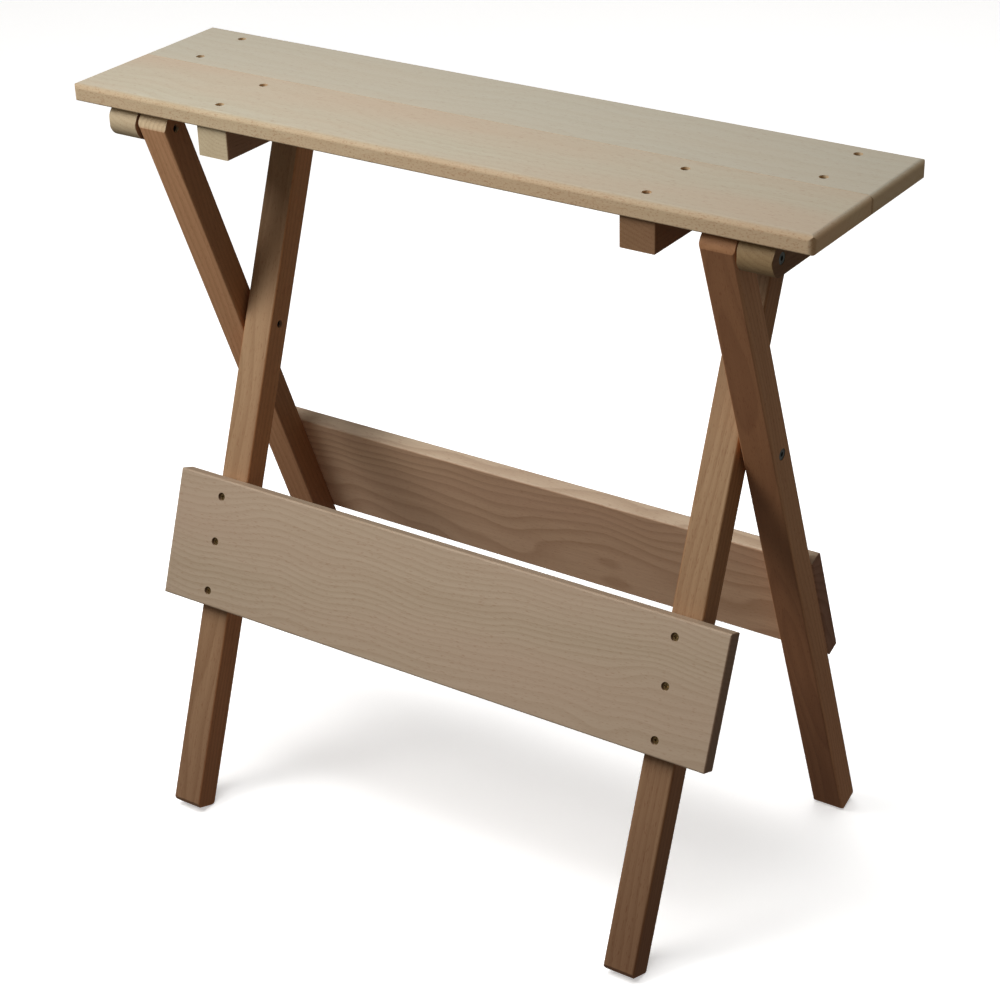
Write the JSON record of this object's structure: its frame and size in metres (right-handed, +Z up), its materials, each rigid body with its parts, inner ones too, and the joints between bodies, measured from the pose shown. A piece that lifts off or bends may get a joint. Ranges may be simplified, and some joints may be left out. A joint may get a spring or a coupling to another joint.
{
  "type": "folding sawhorse",
  "caption": "Wooden folding sawhorse with crossed legs on bolts, a flat split top whose boards turn on the leg tips, and a wide rail joining each pair of legs.",
  "frame": {"origin": "on the floor, under the centre of the top", "axes": "+X along the top, +Y towards the rear, +Z up; the rear is the side of the board that is screwed to the outer battens"},
  "size_m": [0.796, 0.3878, 0.75],
  "materials": {
    "top_wood": "satin",
    "batten_wood": "satin",
    "leg_wood": "satin",
    "rail_wood": "satin",
    "screw_metal": "satin",
    "pivot_steel": "satin"
  },
  "bodies": {
    "outer_frame": {"outer_leg_left": "leg_wood", "outer_leg_right": "leg_wood", "rear_rail": "rail_wood", "rear_rail_screws": "screw_metal", "crossing_bolts": "pivot_steel", "crossing_nuts": "pivot_steel", "crossing_washers": "pivot_steel"},
    "inner_frame": {"inner_leg_left": "leg_wood", "inner_leg_right": "leg_wood", "front_rail": "rail_wood", "front_rail_screws": "screw_metal"},
    "rear_leaf": {"rear_board": "top_wood", "batten_left": "batten_wood", "batten_right": "batten_wood", "batten_screws": "screw_metal", "batten_bolts": "pivot_steel", "batten_nuts": "pivot_steel", "batten_washers": "pivot_steel"},
    "front_leaf": {"front_board": "top_wood", "cleat_left": "batten_wood", "cleat_right": "batten_wood", "cleat_screws": "screw_metal", "cleat_bolts": "pivot_steel", "cleat_nuts": "pivot_steel", "cleat_washers": "pivot_steel"}
  },
  "joints": [
    {"name": "leg_cross", "type": "hinge", "parent": "outer_frame", "child": "inner_frame", "pos_m": [0, 0, 0.4915], "axis": [1, 0, 0], "range_deg": [0, 40.6]},
    {"name": "rear_leaf_hinge", "type": "hinge", "parent": "outer_frame", "child": "rear_leaf", "pos_m": [0, -0.084, 0.7165], "axis": [1, 0, 0], "range_deg": [0, 20.3]},
    {"name": "front_leaf_hinge", "type": "hinge", "parent": "inner_frame", "child": "front_leaf", "pos_m": [0, 0.084, 0.7165], "axis": [1, 0, 0], "range_deg": [-20.3, 0]}
  ],
  "couplings": [
    {"joint": "rear_leaf_hinge", "follows": "leg_cross", "ratio": 0.5},
    {"joint": "front_leaf_hinge", "follows": "leg_cross", "ratio": -0.5}
  ]
}
